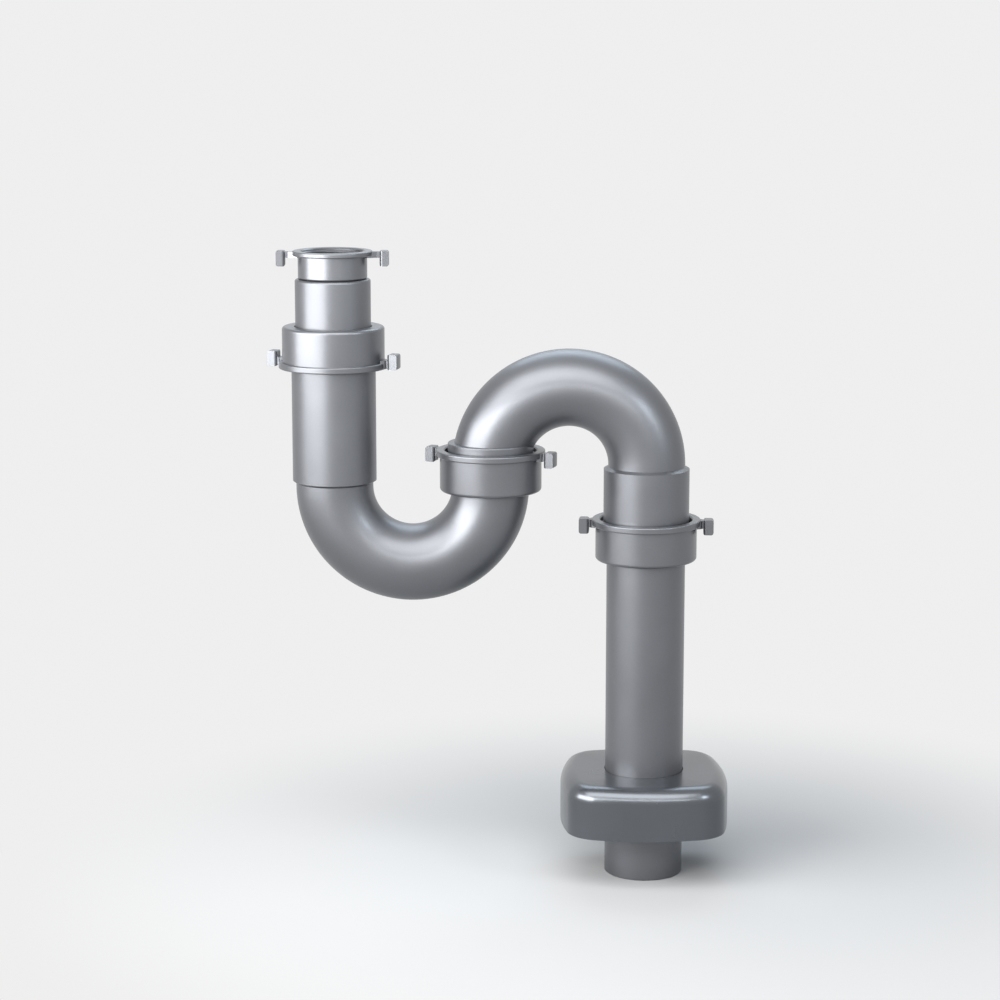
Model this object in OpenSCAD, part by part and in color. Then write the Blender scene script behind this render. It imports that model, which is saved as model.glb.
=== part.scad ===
// Tubular S-shaped waste trap: wing-nut joints, two half-circle bends, floor outlet with a square flange.
// Millimetres, +Z up. The origin is the centre of the outlet pipe's lower end. The trap stands in the
// XZ plane: outlet pipe at x = 0, union joint in the middle, inlet at the far -X side.

/* [Bends] */
// Radius of the centreline of both half-circle bends
bend_radius = 39.5; // [36:0.5:60]
// Outside diameter of the bent tube
bend_od = 39; // [33:0.5:42]
// Wall of the bent tube
bend_wall = 2; // [1.4:0.1:3]
// Height of the step from a bend's tube out to its socket
step_h = 1.2; // [0.6:0.1:2]

/* [Outlet pipe] */
// Outside diameter of the outlet pipe
outlet_od = 40; // [34:0.5:48]
// Wall of the outlet pipe
outlet_wall = 2; // [1.4:0.1:3]
// Length of the outlet pipe
outlet_len = 198; // [160:1:400]
// Length of the outlet pipe that stands inside the crown bend's socket
outlet_insert = 27.5; // [18:0.5:32]
// Height of the insertion mark above the pipe's lower end
mark_z = 34; // [31:1:36]

/* [Sockets] */
// Length of the crown bend's outlet socket, from mouth to step
outlet_socket_len = 41; // [36:1:70]
// Wall of the outlet socket
outlet_socket_wall = 1.5; // [1.2:0.1:2.4]
// Length of the trap bend's inlet socket, from step to mouth
riser_socket_len = 72.5; // [60:0.5:120]
// Wall of the inlet socket
riser_socket_wall = 1.95; // [1.4:0.05:2.4]
// Height by which the crown bend's collar stands out of the union nut
collar_out = 3.6; // [2:0.2:6]

/* [Tail pipe] */
// Outside diameter of the tail pipe
tail_od = 38; // [32:0.5:42]
// Wall of the tail pipe
tail_wall = 2; // [1.4:0.1:2.6]
// Length of the tail pipe, from its lower end to the shoulder under the inlet nut
tail_len = 74.5; // [70:0.5:140]
// Length of the tail pipe that stands inside the riser socket
tail_insert = 45; // [30:1:50]
// Radius of the rounded shoulder
shoulder_round = 1.2; // [0.6:0.1:2]

/* [Big wing nuts] */
// Height of a big nut
nut_h = 21; // [19:0.5:28]
// Wall of a big nut outside its thread
nut_wall = 2.45; // [2:0.05:4]
// Thickness of the lip that closes a nut round its pipe
lip_t = 2.4; // [1.8:0.1:3.4]
// How far the ring at the open end stands out of the nut's body
ring_out = 1.85; // [1.2:0.05:4]
// Thickness of that ring
ring_t = 3.2; // [2.4:0.1:5]
// How far a lug reaches beyond the ring
lug_reach = 6.7; // [5.5:0.1:10]
// Height of a lug's end block
lug_h = 7.7; // [6:0.1:10]
// Width of a lug's end block
lug_w = 7; // [6:0.5:12]
// Depth of the big thread
thread_depth = 1; // [0.6:0.1:1.4]
// Wall of a socket inside its thread
thread_wall = 1.75; // [1.5:0.05:2.5]
// Thickness of a lug's end block
lug_t = 5.2; // [4:0.1:6]
// Width of the web that carries the block
lug_web_w = 4.4; // [3:0.1:6]
// Thickness of that web
lug_web_t = 4.1; // [2.5:0.1:5]
// Rounding of a nut's closed end
nut_round = 1.6; // [0.6:0.1:2]
// Angle at which the outlet nut's lugs stand
outlet_nut_angle = -4; // [-90:1:90]
// Angle at which the union nut's lugs stand
union_nut_angle = -19; // [-90:1:90]
// Angle at which the riser nut's lugs stand
riser_nut_angle = 15; // [-90:1:90]

/* [Inlet nut] */
// Bore of the inlet nut at the root of its thread
inlet_bore_d = 31.2; // [28:0.2:33]
// Wall of the inlet nut
inlet_nut_wall = 1.75; // [1.6:0.05:2.4]
// Height of the inlet nut
inlet_nut_h = 14; // [13:0.2:18]
// Depth of the inlet nut's thread
inlet_thread_depth = 0.8; // [0.5:0.1:1]
// How far the inlet nut's ring stands out of its body
inlet_ring_out = 2.65; // [1.5:0.05:4]
// How far the inlet nut's lugs reach beyond its ring
inlet_lug_reach = 8.3; // [6:0.1:10]
// Thickness of an inlet lug's end block
inlet_lug_t = 4.6; // [3.4:0.1:5.4]
// Width of the web that carries it
inlet_lug_web_w = 3.6; // [2.6:0.1:5]
// Thickness of that web
inlet_lug_web_t = 3; // [2:0.1:4]
// Angle at which the inlet nut's lugs stand
inlet_nut_angle = 0; // [-90:1:90]

/* [Floor flange] */
// Width of the bowed square flange across its middle
flange_w = 86; // [72:1:120]
// Height of the flange
flange_h = 26.5; // [24:0.5:36]
// Height of the flange's rim above the pipe's lower end
flange_z = 28; // [24:1:28]
// Radius of the bow of each side
flange_bow_r = 120; // [110:5:300]
// Corner radius of the flange
flange_corner_r = 18; // [16:1:24]
// Radius of the rounded upper edge
flange_round = 8; // [6:0.5:10]
// Wall of the flange
flange_wall = 2.2; // [1.8:0.1:3]
// Thickness of the flange's top plate
flange_top_t = 2.4; // [1.8:0.1:3.2]

/* [Seals] */
// Thickness of a hard slip washer
washer_t = 1.4; // [1:0.1:2]
// Thickness of a packing's flat part
packing_t = 2; // [1.4:0.1:2.6]
// Thickness of the union gasket and the inlet gasket
gasket_t = 2; // [1.2:0.1:2.6]

/* [Clearances] */
// Radial gap between a sliding pipe and its socket
slip_gap = 0.25; // [0.15:0.05:0.4]
// Radial gap between a rubber ring and the pipe it seals, not squeezed
seal_gap = 0.05; // [0.02:0.01:0.1]
// Radial gap between a pipe and the lip of its nut
lip_gap = 0.4; // [0.3:0.05:0.6]
// Radial gap over the crest of a thread, and round what passes through it
thread_gap = 0.3; // [0.2:0.05:0.4]

/* [Hidden] */
$fn = 96;

// Small shared sizes. A feature that joins another runs into it by join.
edge = 0.6;
cut = 1;
join = 1;
seat = 1;
thread_cover = 2;
bend_r = bend_od / 2;
outlet_r = outlet_od / 2;
tail_r = tail_od / 2;

// Radii of the three equal threads and their nuts
root_r = max(outlet_r, tail_r, bend_r) + slip_gap + thread_wall;
nut_bore_r = root_r + thread_depth + thread_gap;
nut_r = nut_bore_r + nut_wall;
ring_r = nut_r + ring_out;
lug_r = ring_r + lug_reach;
insert_gap = 0.2;
insert_r = nut_bore_r - thread_depth - insert_gap;

// Outer radii of the sockets
outlet_socket_r = outlet_r + slip_gap + outlet_socket_wall;
riser_socket_r = tail_r + slip_gap + riser_socket_wall;

// Places along X of the three upright legs
union_x = -2 * bend_radius;
inlet_x = -4 * bend_radius;

// Heights, from the outlet upwards. A nut's height is that of its closed end. The union nut's open end
// stays union_mouth_up above the place where the crown bend springs, where its tube still clears the nut.
slip_stack = packing_t + washer_t + lip_t;
outlet_mouth_z = outlet_len - outlet_insert;
outlet_nut_z = outlet_mouth_z - slip_stack;
crown_step_z = outlet_mouth_z + outlet_socket_len;
leg_h = 0.8;
crown_spring_z = crown_step_z + step_h + leg_h;
union_mouth_up = 7.9;
trap_flange_t = 2.4;
play = 0.1;
union_drop = nut_h - union_mouth_up - lip_t - play - trap_flange_t - gasket_t;
crown_end_z = crown_spring_z - union_drop;
trap_flange_z = crown_end_z - gasket_t;
union_nut_z = trap_flange_z - trap_flange_t - play - lip_t;
trap_spring_z = union_nut_z + lip_t;
riser_leg_h = 3;
trap_step_z = trap_spring_z + riser_leg_h;
riser_mouth_z = trap_step_z + riser_socket_len;
riser_nut_z = riser_mouth_z + slip_stack;
tail_end_z = riser_mouth_z - tail_insert;
shoulder_z = tail_end_z + tail_len;
inlet_nut_z = shoulder_z + play;

// Inlet nut and the necked end of the tail pipe
inlet_bore_r = inlet_bore_d / 2;
inlet_nut_r = inlet_bore_r + inlet_nut_wall;
inlet_ring_r = inlet_nut_r + inlet_ring_out;
inlet_lug_r = inlet_ring_r + inlet_lug_reach;
inlet_ring_t = 2.4;
inlet_lip_t = 2.2;
inlet_nut_round = 1;
relief = 0.4;
relief_h = 0.5;
neck_flange_r = inlet_bore_r - inlet_thread_depth - insert_gap;
neck_flange_t = 2;
neck_flange_out = 1.6;
neck_r = neck_flange_r - neck_flange_out;
neck_wall = 1.8;
neck_flange_z = inlet_nut_z + inlet_lip_t + play;
inlet_gasket_z = neck_flange_z + neck_flange_t;

// Floor flange: each side is an arc of flange_bow_r, each corner an arc that meets two of them smoothly
flange_half = flange_w / 2;
bow_x = flange_half - flange_bow_r;
corner_x = (bow_x + sqrt(2 * pow(flange_bow_r - flange_corner_r, 2) - bow_x * bow_x)) / 2;
bow_angle = atan2(corner_x, corner_x - bow_x);
boss_wall = 3.2;
boss_gap = 0.35;
boss_r = outlet_r + boss_gap + boss_wall;
boss_h = 16;
seal_h = 4;
seal_cup_wall = 1.5;
seal_r = boss_r - seal_cup_wall;
rib_t = 1.8;
rib_h = 10;
bow_facets = 96;
corner_facets = 60;
round_facets = 48;

// Colours
pipe_colour = "#8f9499";
bend_colour = "#a2a7ad";
tail_colour = "#a8acb2";
nut_colour = "#9a9fa6";
flange_colour = "#858a90";
rubber_colour = "#222222";
washer_colour = "#e8e6e0";

// Section helpers, drawn as radius against height

// A rectangle from the radius r0 to r1 and from the height z0 to z1
module span(r0, r1, z0, z1) {
    translate([r0, z0])
        square([r1 - r0, z1 - z0]);
}

// What a rounding of radius r takes off the corner at (x, z). The material lies towards (sx, sz).
module rounding(x, z, r, sx, sz) {
    translate([x, z])
        scale_sign(sx, sz)
            difference() {
                translate([-cut, -cut])
                    square(r + cut);
                translate([r, r])
                    circle(r);
            }
}

// Mirrors a drawing of the first quadrant into the one of the given signs
module scale_sign(sx, sz) {
    mirror([sx < 0 ? 1 : 0, 0])
        mirror([0, sz < 0 ? 1 : 0])
            children();
}

// What a chamfer of width w takes off the corner at (x, z). The material lies towards (sx, sz).
module chamfer(x, z, w, sx, sz) {
    translate([x, z])
        scale_sign(sx, sz)
            polygon([[-cut, -cut], [w + cut, -cut], [-cut, w + cut]]);
}

// A ring with a plain section
module ring(r_in, r_out, z0, z1) {
    rotate_extrude()
        span(r_in, r_out, z0, z1);
}

// Half a bent rod of radius r between two legs, springing at height 0. turn is 1 upwards, -1 downwards.
module half_bend(r, turn) {
    rotate([turn * 90, 0, 0])
        rotate_extrude(angle = 180)
            translate([bend_radius, 0])
                circle(r);
}

// Wing nuts, drawn with the closed end at height 0 and the open end up

// Section of a nut: a lip round the pipe, a thread bore and a ring round the open end
module nut_section(lip_r, bore_r, body_r, out_r, h, lip, rim, end_round) {
    difference() {
        union() {
            span(lip_r, body_r, 0, h);
            span(lip_r, out_r, h - rim, h);
        }
        span(-cut, bore_r, lip, h + cut);
        rounding(body_r, 0, end_round, -1, 1);
        rounding(out_r, h, edge, -1, -1);
        rounding(out_r, h - rim, edge, -1, 1);
        chamfer(bore_r, h, edge, 1, -1);
        chamfer(lip_r, 0, edge / 2, 1, 1);
    }
}

// Plan of one lug, along +X: a web that narrows outwards and an end block
module lug_plan(body_r, out_r, tip_r, web_w, block_t) {
    web = web_w / 2;
    flare = 1.5 * web;
    root = flare + 1;
    narrow_at = 0.6;
    neck_x = out_r + (tip_r - block_t - out_r) * narrow_at;
    polygon([[body_r, -root], [out_r, -flare], [neck_x, -web], [tip_r, -web],
        [tip_r, web], [neck_x, web], [out_r, flare], [body_r, root]]);
    lug_block_plan(tip_r, block_t);
}

// Plan of a lug's end block, a rounded rectangle that runs past the tip, which the section trims
module lug_block_plan(tip_r, block_t) {
    corner = 1.4;
    past = 1;
    x0 = tip_r - block_t;
    for (side = [-1, 1])
        translate([x0 + corner, side * (lug_w / 2 - corner)])
            circle(corner);
    translate([x0 + corner, -lug_w / 2])
        square([block_t - corner + past, lug_w]);
    translate([x0, -lug_w / 2 + corner])
        square([block_t + past, lug_w - 2 * corner]);
}

// Section of the lugs: the web, set a little under the ring's face, and the rounded end block
module lug_section(body_r, tip_r, h, block_t, web_t) {
    soft = 1.1;
    below_face = 0.5;
    span(body_r - join, tip_r - block_t / 2, h - below_face - web_t, h - below_face);
    difference() {
        span(tip_r - block_t, tip_r, h - lug_h, h);
        for (r = [tip_r - block_t, tip_r])
            for (z = [h - lug_h, h])
                rounding(r, z, soft, r < tip_r ? 1 : -1, z < h ? 1 : -1);
    }
}

// A pair of opposite lugs
module lugs(body_r, out_r, tip_r, h, block_t, web_t, web_w) {
    for (side = [0, 180])
        rotate(side)
            intersection() {
                rotate(90)
                    rotate_extrude()
                        lug_section(body_r, tip_r, h, block_t, web_t);
                linear_extrude(h + cut)
                    lug_plan(body_r, out_r, tip_r, web_w, block_t);
            }
}

// One of the three big nuts. A quarter turn keeps the seam of the round body clear of the lugs.
module big_nut(pipe_r) {
    rotate(90)
        rotate_extrude()
            nut_section(pipe_r + lip_gap, nut_bore_r, nut_r, ring_r, nut_h, lip_t, ring_t, nut_round);
    lugs(nut_r, ring_r, lug_r, nut_h, lug_t, lug_web_t, lug_web_w);
}

// Slip joint: the packing's cone seats in the socket's mouth, and the washer lies under the nut's lip

// Section of a packing for a pipe of radius r, with the socket's mouth at height 0 and the socket above
module packing_section(r) {
    seat_gap = 0.15;
    inner = r + seal_gap;
    wide = r + slip_gap + seat - seat_gap;
    tall = seat - slip_gap;
    polygon([[inner, -packing_t], [insert_r - edge, -packing_t], [insert_r, edge - packing_t],
        [insert_r, 0], [wide, 0], [wide - tall, tall], [inner, tall]]);
}

// What the bore of a socket for a pipe of radius r takes out, with its conical seat at the mouth
module socket_bore_section(r, depth) {
    bore_r = r + slip_gap;
    span(0, bore_r, -cut, depth);
    polygon([[0, -cut], [bore_r + seat + cut, -cut], [bore_r, seat], [0, seat]]);
}

// Section of the outside of a threaded socket end at height 0, solid, that narrows to the radius r
module threaded_end_section(r, thread_h, h) {
    difference() {
        union() {
            span(0, root_r, 0, thread_h);
            span(0, r, 0, h);
        }
        chamfer(root_r, 0, edge / 2, -1, 1);
        chamfer(root_r, thread_h, abs(root_r - r), -1, -1);
    }
}

// Sub-parts

module outlet_pipe() {
    mark_depth = 0.3;
    lead = 0.4;
    color(pipe_colour)
        rotate_extrude()
            difference() {
                span(outlet_r - outlet_wall, outlet_r, 0, outlet_len);
                span(outlet_r - mark_depth, outlet_r + cut, mark_z - edge, mark_z + edge);
                chamfer(outlet_r, 0, lead, -1, 1);
                chamfer(outlet_r, outlet_len, edge, -1, -1);
                chamfer(outlet_r - outlet_wall, 0, lead, 1, 1);
            }
}

// Section of the flange under an arc of radius r, solid, with the upper edge rounded
module flange_section(r, h, round_r) {
    inner_r = r - flange_corner_r / 2;
    span(inner_r, r - round_r, 0, h);
    span(inner_r, r, 0, h - round_r);
    translate([r - round_r, h - round_r])
        circle(round_r, $fn = round_facets);
}

// A solid bowed square, smaller by inset all round. Its hull closes the middle.
module bowed_square(inset, h, round_r) {
    hull()
        for (k = [0:3])
            rotate(90 * k) {
                translate([bow_x, 0, 0])
                    rotate(-bow_angle)
                        rotate_extrude(angle = 2 * bow_angle, $fn = bow_facets)
                            flange_section(flange_bow_r - inset, h, round_r);
                translate([corner_x, corner_x, 0])
                    rotate(bow_angle)
                        rotate_extrude(angle = 90 - 2 * bow_angle, $fn = corner_facets)
                            flange_section(flange_corner_r - inset, h, round_r);
            }
}

// A rib from the boss to the flange's wall, along +X, that ends inside the wall
module flange_rib() {
    end_x = flange_half - flange_wall / 2;
    top_z = flange_h - flange_top_t / 2;
    translate([0, rib_t / 2, 0])
        rotate([90, 0, 0])
            linear_extrude(rib_t)
                difference() {
                    span(boss_r - join, end_x, flange_h - flange_top_t - rib_h, top_z);
                    rounding(end_x, top_z, flange_round - flange_wall / 2, -1, -1);
                }
}

module floor_flange() {
    hollow_h = flange_h - flange_top_t;
    color(flange_colour)
        translate([0, 0, flange_z])
            difference() {
                union() {
                    difference() {
                        bowed_square(0, flange_h, flange_round);
                        translate([0, 0, -cut])
                            bowed_square(flange_wall, hollow_h + cut, flange_round - flange_wall);
                    }
                    for (k = [0:3])
                        rotate(90 * k)
                            flange_rib();
                    translate([0, 0, flange_h - boss_h])
                        cylinder(r = boss_r, h = boss_h);
                }
                translate([0, 0, -cut])
                    cylinder(r = outlet_r + boss_gap, h = flange_h + 2 * cut);
                translate([0, 0, flange_h - boss_h - cut])
                    cylinder(r = seal_r + seal_gap, h = seal_h + cut);
            }
}

module flange_seal() {
    color(rubber_colour)
        translate([0, 0, flange_z + flange_h - boss_h])
            ring(outlet_r + seal_gap, seal_r, play, seal_h);
}

module outlet_nut() {
    color(nut_colour)
        translate([0, 0, outlet_nut_z])
            rotate(outlet_nut_angle)
                big_nut(outlet_r);
}

module outlet_washer() {
    color(washer_colour)
        translate([0, 0, outlet_nut_z + lip_t])
            ring(outlet_r + lip_gap, insert_r, 0, washer_t);
}

module outlet_packing() {
    color(rubber_colour)
        translate([0, 0, outlet_mouth_z])
            rotate_extrude()
                packing_section(outlet_r);
}

// The upper bend: threaded collar down to the union, half circle, and the socket over the outlet pipe
module crown_bend() {
    nut_mouth_z = union_nut_z + nut_h;
    collar_h = nut_mouth_z + collar_out - crown_end_z;
    thread_h = nut_mouth_z - thread_cover - crown_end_z;
    socket_thread_h = outlet_nut_z + nut_h - thread_cover - outlet_mouth_z;
    bore_r = bend_r - bend_wall;
    color(bend_colour)
        difference() {
            union() {
                translate([-bend_radius, 0, crown_spring_z])
                    half_bend(bend_r, 1);
                translate([union_x, 0, crown_end_z])
                    rotate_extrude()
                        difference() {
                            threaded_end_section(outlet_socket_r, thread_h, collar_h);
                            rounding(outlet_socket_r, collar_h, edge, -1, -1);
                        }
                translate([0, 0, outlet_mouth_z])
                    rotate_extrude() {
                        threaded_end_section(outlet_socket_r, socket_thread_h, outlet_socket_len);
                        polygon([[0, outlet_socket_len], [outlet_socket_r, outlet_socket_len],
                            [bend_r, outlet_socket_len + step_h],
                            [bend_r, crown_spring_z - outlet_mouth_z],
                            [0, crown_spring_z - outlet_mouth_z]]);
                    }
            }
            translate([-bend_radius, 0, crown_spring_z])
                half_bend(bore_r, 1);
            translate([union_x, 0, crown_end_z - cut])
                cylinder(r = bore_r, h = union_drop + cut);
            translate([0, 0, outlet_mouth_z])
                rotate_extrude() {
                    socket_bore_section(outlet_r, outlet_socket_len - step_h);
                    span(0, bore_r, outlet_socket_len - step_h - cut, crown_spring_z - outlet_mouth_z);
                }
        }
}

module union_nut() {
    color(nut_colour)
        translate([union_x, 0, union_nut_z])
            rotate(union_nut_angle)
                big_nut(bend_r);
}

module union_gasket() {
    color(rubber_colour)
        translate([union_x, 0, trap_flange_z])
            ring(bend_r - bend_wall + seal_gap, insert_r, 0, gasket_t);
}

// The lower bend, which holds the water: the socket over the tail pipe, half circle, and a flanged end
module trap_bend() {
    bore_r = bend_r - bend_wall;
    leg_top = trap_step_z - trap_spring_z;
    thread_h = riser_mouth_z - riser_nut_z + nut_h - thread_cover;
    color(bend_colour)
        difference() {
            union() {
                translate([-3 * bend_radius, 0, trap_spring_z])
                    half_bend(bend_r, -1);
                translate([inlet_x, 0, trap_spring_z])
                    rotate_extrude()
                        polygon([[0, 0], [bend_r, 0], [bend_r, leg_top - step_h],
                            [riser_socket_r, leg_top], [0, leg_top]]);
                translate([inlet_x, 0, riser_mouth_z])
                    mirror([0, 0, 1])
                        rotate_extrude()
                            threaded_end_section(riser_socket_r, thread_h, riser_socket_len);
                translate([union_x, 0, trap_spring_z])
                    rotate_extrude()
                        difference() {
                            union() {
                                span(0, bend_r, 0, trap_flange_z - trap_spring_z);
                                span(0, insert_r, play, trap_flange_z - trap_spring_z);
                            }
                            rounding(insert_r, play, edge / 2, -1, 1);
                        }
            }
            translate([-3 * bend_radius, 0, trap_spring_z])
                half_bend(bore_r, -1);
            translate([union_x, 0, trap_spring_z])
                cylinder(r = bore_r, h = trap_flange_z - trap_spring_z + cut);
            translate([inlet_x, 0, trap_spring_z])
                cylinder(r = bore_r, h = leg_top + step_h + cut);
            translate([inlet_x, 0, riser_mouth_z])
                mirror([0, 0, 1])
                    rotate_extrude()
                        socket_bore_section(tail_r, riser_socket_len - step_h);
        }
}

module riser_packing() {
    color(rubber_colour)
        translate([inlet_x, 0, riser_mouth_z])
            mirror([0, 0, 1])
                rotate_extrude()
                    packing_section(tail_r);
}

module riser_washer() {
    color(washer_colour)
        translate([inlet_x, 0, riser_mouth_z + packing_t])
            ring(tail_r + lip_gap, insert_r, 0, washer_t);
}

module riser_nut() {
    color(nut_colour)
        translate([inlet_x, 0, riser_nut_z])
            mirror([0, 0, 1])
                rotate(-riser_nut_angle)
                    big_nut(tail_r);
}

// Straight tube, drawn in to a neck with a flange that the inlet nut pulls on
module tail_pipe() {
    bore_r = tail_r - tail_wall;
    neck_bore_r = neck_r - neck_wall;
    shoulder_t = 2;
    slope = (bore_r - neck_bore_r) / 2;
    color(tail_colour)
        translate([inlet_x, 0, 0])
            rotate_extrude()
                difference() {
                    union() {
                        span(0, tail_r, tail_end_z, shoulder_z);
                        span(0, neck_r, shoulder_z - cut, neck_flange_z + cut);
                        span(0, neck_flange_r, neck_flange_z, inlet_gasket_z);
                    }
                    rounding(tail_r, shoulder_z, shoulder_round, -1, -1);
                    chamfer(tail_r, tail_end_z, edge, -1, 1);
                    rounding(neck_flange_r, neck_flange_z, edge / 2, -1, 1);
                    polygon([[0, tail_end_z - cut], [bore_r, tail_end_z - cut],
                        [bore_r, shoulder_z - shoulder_t - slope], [neck_bore_r, shoulder_z - shoulder_t],
                        [neck_bore_r, inlet_gasket_z + cut], [0, inlet_gasket_z + cut]]);
                }
}

module inlet_nut() {
    color(nut_colour)
        translate([inlet_x, 0, inlet_nut_z])
            rotate(inlet_nut_angle) {
                rotate(90)
                    rotate_extrude()
                        difference() {
                            nut_section(neck_r + lip_gap, inlet_bore_r, inlet_nut_r, inlet_ring_r,
                                inlet_nut_h, inlet_lip_t, inlet_ring_t, inlet_nut_round);
                            span(inlet_bore_r - cut, inlet_bore_r + relief, inlet_lip_t,
                                inlet_gasket_z + gasket_t + relief_h - inlet_nut_z);
                        }
                lugs(inlet_nut_r, inlet_ring_r, inlet_lug_r, inlet_nut_h,
                    inlet_lug_t, inlet_lug_web_t, inlet_lug_web_w);
            }
}

module inlet_gasket() {
    color(rubber_colour)
        translate([inlet_x, 0, inlet_gasket_z])
            ring(neck_r - neck_wall + seal_gap, neck_flange_r, 0, gasket_t);
}

outlet_pipe();
floor_flange();
flange_seal();
outlet_nut();
outlet_washer();
outlet_packing();
crown_bend();
union_nut();
union_gasket();
trap_bend();
riser_packing();
riser_washer();
riser_nut();
tail_pipe();
inlet_nut();
inlet_gasket();
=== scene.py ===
"""Looks of the tubular waste trap: satin silver plastic pipes, bends and wing nuts, rubber seals, screw threads."""
import math

import bpy
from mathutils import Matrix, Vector


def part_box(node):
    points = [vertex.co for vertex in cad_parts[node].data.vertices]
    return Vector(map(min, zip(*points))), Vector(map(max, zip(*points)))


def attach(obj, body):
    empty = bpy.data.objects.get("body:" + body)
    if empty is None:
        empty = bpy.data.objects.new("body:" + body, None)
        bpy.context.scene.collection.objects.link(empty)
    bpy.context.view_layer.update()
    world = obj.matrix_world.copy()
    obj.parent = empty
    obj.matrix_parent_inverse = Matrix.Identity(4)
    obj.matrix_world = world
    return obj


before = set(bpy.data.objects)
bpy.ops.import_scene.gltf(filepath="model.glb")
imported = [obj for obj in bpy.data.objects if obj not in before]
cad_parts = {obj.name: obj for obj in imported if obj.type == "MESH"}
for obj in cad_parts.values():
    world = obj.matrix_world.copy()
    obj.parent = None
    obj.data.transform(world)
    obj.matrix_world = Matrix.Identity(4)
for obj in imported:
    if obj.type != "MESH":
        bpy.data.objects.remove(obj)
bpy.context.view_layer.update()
MM = 0.001


# Places taken from the frame, in metres

def centre_x(node):
    """The X of a node's upright axis, for nodes that are round about it."""
    low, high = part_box(node)
    return (low[0] + high[0]) / 2


OUTLET_X = centre_x("outlet_pipe")
UNION_X = centre_x("union_gasket")
INLET_X = centre_x("riser_washer")
OUTLET_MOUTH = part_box("outlet_washer")[1][2] + 2 * MM
UNION_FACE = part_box("union_gasket")[1][2]
RISER_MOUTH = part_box("riser_washer")[0][2] - 2 * MM

# Materials

SILVER = (0.150, 0.155, 0.167)
NUT_SILVER = (0.155, 0.160, 0.172)
# The flange's base is the pipes' satin silver darkened: painted shade for the dim, low-lying flange.
FLANGE_SHADED_SILVER = (0.108, 0.116, 0.128)
RUBBER = (0.022, 0.022, 0.024)
PALE = (0.80, 0.78, 0.72)


class Nodes:
    """A small helper that adds and links the nodes of one material."""

    def __init__(self, name):
        self.material = bpy.data.materials.new(name)
        self.material.use_nodes = True
        self.tree = self.material.node_tree
        self.shader = self.tree.nodes["Principled BSDF"]
        self.coords = self.tree.nodes.new("ShaderNodeTexCoord").outputs["Object"]

    def add(self, kind, **values):
        node = self.tree.nodes.new(kind)
        for key, value in values.items():
            if key in node.inputs:
                node.inputs[key].default_value = value
            else:
                setattr(node, key, value)
        return node

    def link(self, source, target):
        self.tree.links.new(source, target)

    def noise(self, scale, detail=4.0, stretch=(1.0, 1.0, 1.0)):
        mapping = self.add("ShaderNodeMapping")
        mapping.inputs["Scale"].default_value = stretch
        self.link(self.coords, mapping.inputs["Vector"])
        texture = self.add("ShaderNodeTexNoise", Scale=scale, Detail=detail)
        self.link(mapping.outputs["Vector"], texture.inputs["Vector"])
        return texture.outputs["Fac"]

    def ramp(self, value, low, high, low_at=0.3, high_at=0.7):
        """Colours from low to high as value goes from low_at to high_at."""
        ramp = self.add("ShaderNodeValToRGB")
        ends = ramp.color_ramp.elements
        ends[0].position, ends[1].position = low_at, high_at
        ends[0].color, ends[1].color = (*low, 1.0), (*high, 1.0)
        self.link(value, ramp.inputs["Fac"])
        return ramp.outputs["Color"]

    def range(self, value, low, high):
        scale = self.add("ShaderNodeMapRange")
        scale.inputs["To Min"].default_value = low
        scale.inputs["To Max"].default_value = high
        self.link(value, scale.inputs["Value"])
        return scale.outputs["Result"]

    def mix(self, fac, a, b, blend="MIX"):
        mix = self.add("ShaderNodeMix", data_type="RGBA", blend_type=blend)
        for socket, value in ((mix.inputs["Factor"], fac), (mix.inputs["A"], a), (mix.inputs["B"], b)):
            self.put(socket, value, mix)
        return [o for o in mix.outputs if o.type == "RGBA"][0]

    def put(self, socket, value, mix):
        if socket.name in ("A", "B"):
            socket = [s for s in mix.inputs if s.name == socket.name and s.type == "RGBA"][0]
        if isinstance(value, (int, float)):
            socket.default_value = value
        elif isinstance(value, tuple):
            socket.default_value = (*value, 1.0)
        else:
            self.link(value, socket)

    def bump(self, height, strength, distance):
        bump = self.add("ShaderNodeBump", Strength=strength, Distance=distance)
        self.link(height, bump.inputs["Height"])
        if self.shader.inputs["Normal"].is_linked:
            self.link(self.shader.inputs["Normal"].links[0].from_socket, bump.inputs["Normal"])
        self.link(bump.outputs["Normal"], self.shader.inputs["Normal"])


def shade(colour, factor):
    return tuple(min(1.0, c * factor) for c in colour)


def silver_plastic(name, colour, metallic, roughness):
    """Moulded plastic with a satin silver finish: fine metal grains, a soft cloudiness and faint handling marks."""
    m = Nodes(name)
    m.shader.inputs["Metallic"].default_value = metallic
    m.shader.inputs["Specular IOR Level"].default_value = 0.5
    m.shader.inputs["Coat Weight"].default_value = 0.18
    m.shader.inputs["Coat Roughness"].default_value = 0.20
    cloud = m.ramp(m.noise(28.0, 3.0), shade(colour, 0.95), shade(colour, 1.05))
    grain = m.ramp(m.noise(2600.0, 2.0), (0.86, 0.86, 0.87), (1.0, 1.0, 1.0))
    m.link(m.mix(0.5, cloud, grain, "MULTIPLY"), m.shader.inputs["Base Color"])
    rough = m.range(m.noise(60.0, 5.0), roughness - 0.05, roughness + 0.06)
    m.link(rough, m.shader.inputs["Roughness"])
    m.bump(m.noise(1800.0, 3.0), 0.12, 0.05 * MM)
    m.bump(m.noise(90.0, 2.0, (1.0, 1.0, 0.35)), 0.10, 0.3 * MM)
    return m.material


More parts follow.
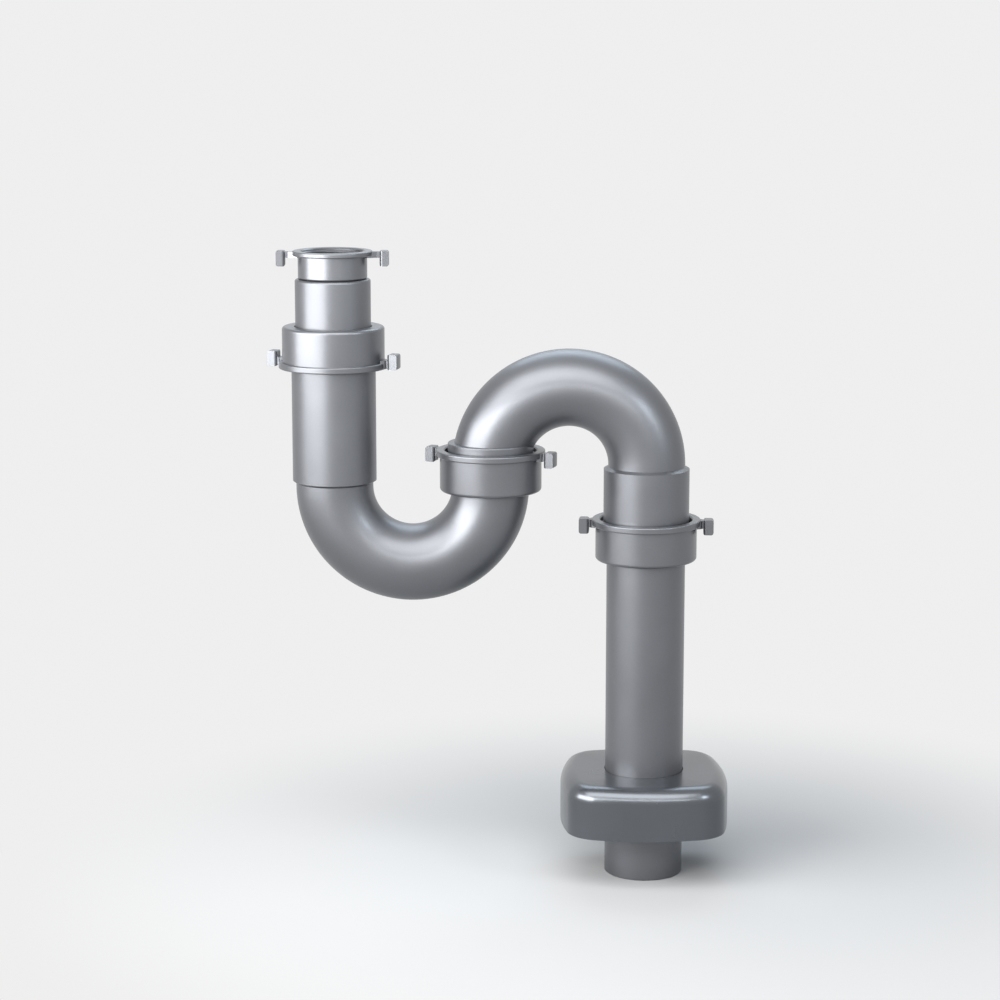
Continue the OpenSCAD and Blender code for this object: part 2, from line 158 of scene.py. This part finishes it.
def rubber(name):
    """Black moulded rubber with a dusty bloom."""
    m = Nodes(name)
    m.shader.inputs["Specular IOR Level"].default_value = 0.35
    m.link(m.ramp(m.noise(180.0, 5.0), RUBBER, shade(RUBBER, 2.2), 0.4, 0.8), m.shader.inputs["Base Color"])
    m.link(m.range(m.noise(400.0), 0.55, 0.8), m.shader.inputs["Roughness"])
    m.bump(m.noise(1500.0), 0.25, 0.08 * MM)
    return m.material


def pale_plastic(name):
    """Natural unpigmented plastic of the slip washers."""
    m = Nodes(name)
    m.shader.inputs["Subsurface Weight"].default_value = 0.15
    m.shader.inputs["Subsurface Radius"].default_value = (0.002, 0.0016, 0.001)
    m.link(m.ramp(m.noise(120.0), shade(PALE, 0.94), PALE), m.shader.inputs["Base Color"])
    m.link(m.range(m.noise(700.0), 0.35, 0.5), m.shader.inputs["Roughness"])
    m.bump(m.noise(1200.0), 0.1, 0.05 * MM)
    return m.material


PIPE_MATERIAL = silver_plastic("satin_silver", SILVER, 0.85, 0.42)
NUT_MATERIAL = silver_plastic("satin_silver_nut", NUT_SILVER, 0.85, 0.36)
# The flange finish has a glossier surface, and its darker base colour is painted shade.
FLANGE_MATERIAL = silver_plastic("satin_silver_flange", FLANGE_SHADED_SILVER, 0.80, 0.25)
RUBBER_MATERIAL = rubber("black_rubber")
PALE_MATERIAL = pale_plastic("pale_plastic")

FINISH = {
    PIPE_MATERIAL: ("outlet_pipe", "crown_bend", "trap_bend", "tail_pipe"),
    NUT_MATERIAL: ("outlet_nut", "union_nut", "riser_nut", "inlet_nut"),
    FLANGE_MATERIAL: ("floor_flange",),
    RUBBER_MATERIAL: ("flange_seal", "outlet_packing", "union_gasket", "riser_packing", "inlet_gasket"),
    PALE_MATERIAL: ("outlet_washer", "riser_washer"),
}
for material, names in FINISH.items():
    for name in names:
        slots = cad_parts[name].material_slots
        for one in slots:
            one.material = material


# Smooth shading of the faceted flange shell

def smooth_by_angle(obj, degrees):
    """A modifier that welds the shell's facets and shades them smooth, but for edges sharper than the angle."""
    tree = bpy.data.node_groups.new("smooth_by_angle", "GeometryNodeTree")
    tree.interface.new_socket("Geometry", in_out="INPUT", socket_type="NodeSocketGeometry")
    tree.interface.new_socket("Geometry", in_out="OUTPUT", socket_type="NodeSocketGeometry")
    add = tree.nodes.new
    start, end = add("NodeGroupInput"), add("NodeGroupOutput")
    strip = add("GeometryNodeRemoveAttribute")
    strip.inputs["Name"].default_value = "custom_normal"
    weld = add("GeometryNodeMergeByDistance")
    weld.inputs["Distance"].default_value = 0.005 * MM
    faces = add("GeometryNodeSetShadeSmooth")
    edges = add("GeometryNodeSetShadeSmooth")
    edges.domain = "EDGE"
    angle = add("GeometryNodeInputMeshEdgeAngle")
    soft = add("FunctionNodeCompare")
    soft.data_type, soft.operation = "FLOAT", "LESS_THAN"
    soft.inputs["B"].default_value = math.radians(degrees)
    link = tree.links.new
    link(start.outputs[0], strip.inputs["Geometry"])
    link(strip.outputs["Geometry"], weld.inputs["Geometry"])
    link(weld.outputs["Geometry"], faces.inputs["Geometry"])
    link(faces.outputs["Geometry"], edges.inputs["Geometry"])
    link(angle.outputs["Unsigned Angle"], soft.inputs["A"])
    link(soft.outputs["Result"], edges.inputs["Shade Smooth"])
    link(edges.outputs["Geometry"], end.inputs[0])
    obj.modifiers.new("smooth_by_angle", "NODES").node_group = tree


smooth_by_angle(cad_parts["floor_flange"], 32)

# Screw threads, which the construction model leaves as plain walls at the root

STEPS_PER_TURN = 96


def thread(name, x, low, high, root, crest, pitch, phase, body, material):
    """A trapezoid ridge wound round the upright axis at x. crest under root makes a nut's inner thread."""
    embed = 0.12 * MM * (1 if crest < root else -1)
    foot, top = 0.36 * pitch, 0.15 * pitch
    turns = (high - low - 2 * foot) / pitch
    steps = int(turns * STEPS_PER_TURN)
    fade = STEPS_PER_TURN // 6
    points, faces = [], []
    for i in range(steps + 1):
        angle = 2 * math.pi * i / STEPS_PER_TURN + phase
        height = low + foot + pitch * i / STEPS_PER_TURN
        grown = min(1.0, i / fade, (steps - i) / fade)
        tip = root + embed + (crest - root - embed) * grown
        section = ((root + embed, -foot), (tip, -top), (tip, top), (root + embed, foot))
        for radius, dz in section:
            points.append((x + radius * math.cos(angle), radius * math.sin(angle), height + dz))
    for i in range(steps):
        a, b = 4 * i, 4 * (i + 1)
        faces += [(a + k, a + (k + 1) % 4, b + (k + 1) % 4, b + k) for k in range(4)]
    faces += [(3, 2, 1, 0), tuple(4 * steps + k for k in range(4))]
    mesh = bpy.data.meshes.new(name)
    mesh.from_pydata(points, [], faces if crest > root else [f[::-1] for f in faces])
    mesh.validate()
    mesh.materials.append(material)
    obj = bpy.data.objects.new(name, mesh)
    bpy.context.scene.collection.objects.link(obj)
    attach(obj, body)
    return obj


PITCH = 3.0 * MM
MALE_ROOT, MALE_CREST = 22.0 * MM, 23.0 * MM
FEMALE_ROOT, FEMALE_CREST = 23.3 * MM, 22.3 * MM
END = 0.7 * MM
COVER = 2.0 * MM


def phase_at(low, base, half_turn):
    """Start angle of a ridge that begins at low, so that every ridge of one joint lies on one helix from base."""
    foot = 0.36 * PITCH
    return 2 * math.pi * ((low + foot - base) / PITCH + (0.5 if half_turn else 0.0))


def big_joint(prefix, x, mouth, direction, socket_body, nut_node):
    """The outer thread of a socket's end and the inner thread of its nut, from mouth in the given direction."""
    nut_low, nut_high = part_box(nut_node)[0][2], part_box(nut_node)[1][2]
    open_end = nut_high if direction > 0 else nut_low
    male = sorted((mouth + direction * END, open_end - direction * (COVER + END)))
    female = sorted((mouth, open_end - direction * 1.2 * MM))
    thread(prefix + "_socket_thread", x, male[0], male[1], MALE_ROOT, MALE_CREST, PITCH,
           phase_at(male[0], mouth, False), socket_body, PIPE_MATERIAL)
    thread(prefix + "_nut_thread", x, female[0], female[1], FEMALE_ROOT, FEMALE_CREST, PITCH,
           phase_at(female[0], mouth, True), nut_node, NUT_MATERIAL)


big_joint("outlet", OUTLET_X, OUTLET_MOUTH, 1, "crown_bend", "outlet_nut")
big_joint("union", UNION_X, UNION_FACE, 1, "crown_bend", "union_nut")
big_joint("riser", INLET_X, RISER_MOUTH, -1, "trap_bend", "riser_nut")

INLET_ROOT, INLET_CREST, INLET_PITCH = 15.6 * MM, 14.8 * MM, 2.0 * MM
inlet_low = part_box("inlet_gasket")[1][2] + 0.5 * MM
inlet_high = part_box("inlet_nut")[1][2] - 0.7 * MM
thread("inlet_nut_thread", INLET_X, inlet_low, inlet_high, INLET_ROOT, INLET_CREST, INLET_PITCH,
       0.0, "inlet_nut", NUT_MATERIAL)

# Stage, lights and camera

FLOOR_SIZE = 400.0
FLOOR_SEEN, FLOOR_BOUNCE = 0.46, 0.14
PALE_BACKGROUND = 0.86
FADE_NEAR, FADE_FAR = 0.08, 0.34
CAMERA_TARGET = Vector((-74.3 * MM, 0.0, 195.2 * MM))
CAMERA_DISTANCE = 1395.9 * MM
CAMERA_PITCH = math.radians(10.5)


def seen_ray(nodes, link):
    """1 for the rays that show the background: the camera's own, and those off gloss or through clear pieces."""
    path = nodes.new("ShaderNodeLightPath")
    seen = path.outputs["Is Camera Ray"]
    for kind in ("Is Glossy Ray", "Is Transmission Ray"):
        either = nodes.new("ShaderNodeMath")
        either.operation = "MAXIMUM"
        link(seen, either.inputs[0])
        link(path.outputs[kind], either.inputs[1])
        seen = either.outputs["Value"]
    return seen


def make_floor():
    """A plain pale floor that keeps the shadow and turns into the even background further away."""
    mesh = bpy.data.meshes.new("floor")
    half = FLOOR_SIZE / 2
    mesh.from_pydata([(-half, -half, 0), (half, -half, 0), (half, half, 0), (-half, half, 0)], [], [(0, 1, 2, 3)])
    floor = bpy.data.objects.new("floor", mesh)
    bpy.context.scene.collection.objects.link(floor)
    m = Nodes("floor")
    seen = seen_ray(m.tree.nodes, m.link)
    m.link(m.mix(seen, (FLOOR_BOUNCE,) * 3, (FLOOR_SEEN,) * 3), m.shader.inputs["Base Color"])
    m.shader.inputs["Roughness"].default_value = 0.8
    m.shader.inputs["Specular IOR Level"].default_value = 0.2
    distance = m.add("ShaderNodeVectorMath", operation="DISTANCE")
    distance.inputs[1].default_value = (OUTLET_X, 0.0, 0.0)
    m.link(m.coords, distance.inputs[0])
    fade = m.add("ShaderNodeMapRange", interpolation_type="SMOOTHSTEP")
    fade.inputs["From Min"].default_value = FADE_NEAR
    fade.inputs["From Max"].default_value = FADE_FAR
    m.link(distance.outputs["Value"], fade.inputs["Value"])
    seen_far = m.add("ShaderNodeMath", operation="MULTIPLY")
    m.link(fade.outputs["Result"], seen_far.inputs[0])
    m.link(seen, seen_far.inputs[1])
    even = m.add("ShaderNodeEmission")
    even.inputs["Color"].default_value = (PALE_BACKGROUND,) * 3 + (1.0,)
    mix = m.add("ShaderNodeMixShader")
    m.link(seen_far.outputs["Value"], mix.inputs["Fac"])
    m.link(m.shader.outputs["BSDF"], mix.inputs[1])
    m.link(even.outputs["Emission"], mix.inputs[2])
    m.link(mix.outputs["Shader"], m.tree.nodes["Material Output"].inputs["Surface"])
    mesh.materials.append(m.material)


def area_light(name, place, target, size, power, colour=(1.0, 1.0, 1.0)):
    data = bpy.data.lights.new(name, "AREA")
    data.shape = "RECTANGLE"
    data.size, data.size_y = size
    data.energy = power
    data.color = colour
    lamp = bpy.data.objects.new(name, data)
    lamp.location = place
    lamp.rotation_euler = (Vector(target) - Vector(place)).to_track_quat("-Z", "Y").to_euler()
    lamp.visible_camera = False
    bpy.context.scene.collection.objects.link(lamp)


def make_world():
    world = bpy.data.worlds.new("studio")
    bpy.context.scene.world = world
    world.use_nodes = True
    nodes, link = world.node_tree.nodes, world.node_tree.links.new
    background = nodes["Background"]
    background.inputs["Color"].default_value = (0.80, 0.90, 1.0, 1.0)
    background.inputs["Strength"].default_value = 0.13
    pale = nodes.new("ShaderNodeBackground")
    pale.inputs["Color"].default_value = (PALE_BACKGROUND,) * 3 + (1.0,)
    pale.inputs["Strength"].default_value = 1.0
    mix = nodes.new("ShaderNodeMixShader")
    link(seen_ray(nodes, link), mix.inputs["Fac"])
    link(background.outputs["Background"], mix.inputs[1])
    link(pale.outputs["Background"], mix.inputs[2])
    link(mix.outputs["Shader"], nodes["World Output"].inputs["Surface"])


def make_camera():
    data = bpy.data.cameras.new("camera")
    data.lens, data.sensor_width = 99.0, 36.0
    camera = bpy.data.objects.new("camera", data)
    back = Vector((0.0, -math.cos(CAMERA_PITCH), math.sin(CAMERA_PITCH)))
    camera.location = CAMERA_TARGET + back * CAMERA_DISTANCE
    camera.rotation_euler = (-back).to_track_quat("-Z", "Y").to_euler()
    bpy.context.scene.collection.objects.link(camera)
    bpy.context.scene.camera = camera


make_floor()
make_world()
area_light("key", (-0.62, -0.36, 0.33), (-0.13, 0.0, 0.27), (0.80, 0.32), 8.4)
area_light("overhead", (-0.20, -0.46, 0.82), (-0.08, 0.0, 0.22), (1.20, 0.50), 9.0)
area_light("back", (0.0, 0.5, 0.8), (-0.08, 0.0, 0.2), (0.8, 0.4), 3.0, (0.75, 0.88, 1.0))
area_light("edge", (-0.10, -0.70, 0.42), (0.0, -0.04, 0.05), (1.00, 0.12), 2.4)
area_light("side", (0.72, -0.60, 0.62), (-0.02, 0.0, 0.26), (0.30, 0.3), 3.0, (0.86, 0.93, 1.0))
make_camera()
bpy.context.scene.view_settings.view_transform = "Standard"
